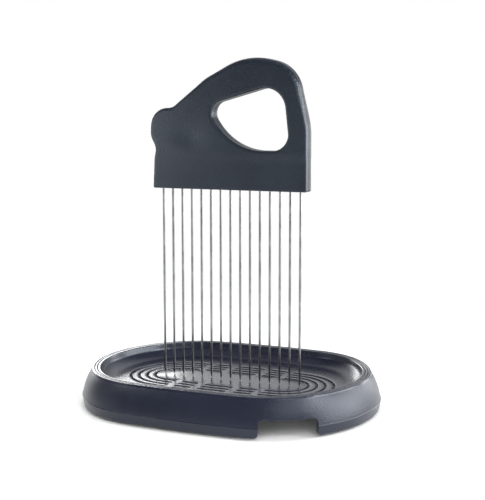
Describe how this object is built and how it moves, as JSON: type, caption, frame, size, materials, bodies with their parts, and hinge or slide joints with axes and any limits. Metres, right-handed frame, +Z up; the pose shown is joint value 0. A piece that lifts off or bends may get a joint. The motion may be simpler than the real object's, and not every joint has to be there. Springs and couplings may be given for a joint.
{
  "type": "hasselback potato cutter",
  "caption": "Oval slicing tray with a hand-held comb of steel tines that guides a knife into a potato for fan cuts.",
  "frame": {"origin": "on the table under the middle of the tray, at the height of the feet's soles", "axes": "+X along the tray's long axis and the row of tines, +Y from the front to the back, +Z up along the tines"},
  "size_m": [0.1778, 0.1378, 0.201],
  "materials": {
    "tray_plastic": "satin moulded plastic, dark slate blue",
    "handle_plastic": "satin moulded plastic, dark slate grey",
    "foot_rubber": "matt rubber",
    "block_plastic": "moulded nylon",
    "strip_steel": "rolled strip",
    "tine_steel": "polished stainless steel"
  },
  "bodies": {
    "base": {"base_tray": "tray_plastic", "foot_front_left": "foot_rubber", "foot_front_right": "foot_rubber", "foot_rear_right": "foot_rubber", "foot_rear_left": "foot_rubber"},
    "comb": {"handle_front_shell": "handle_plastic", "handle_rear_shell": "handle_plastic", "tine_block": "block_plastic", "tine_retaining_strip": "strip_steel", "tine_01": "tine_steel", "tine_02": "tine_steel", "tine_03": "tine_steel", "tine_04": "tine_steel", "tine_05": "tine_steel", "tine_06": "tine_steel", "tine_07": "tine_steel", "tine_08": "tine_steel", "tine_09": "tine_steel", "tine_10": "tine_steel", "tine_11": "tine_steel", "tine_12": "tine_steel", "tine_13": "tine_steel", "tine_14": "tine_steel", "tine_15": "tine_steel"}
  },
  "joints": [
    {"name": "comb_slide", "type": "slide", "parent": "base", "child": "comb", "axis": [0, 0, 1], "range_m": [0, 0.13]}
  ]
}
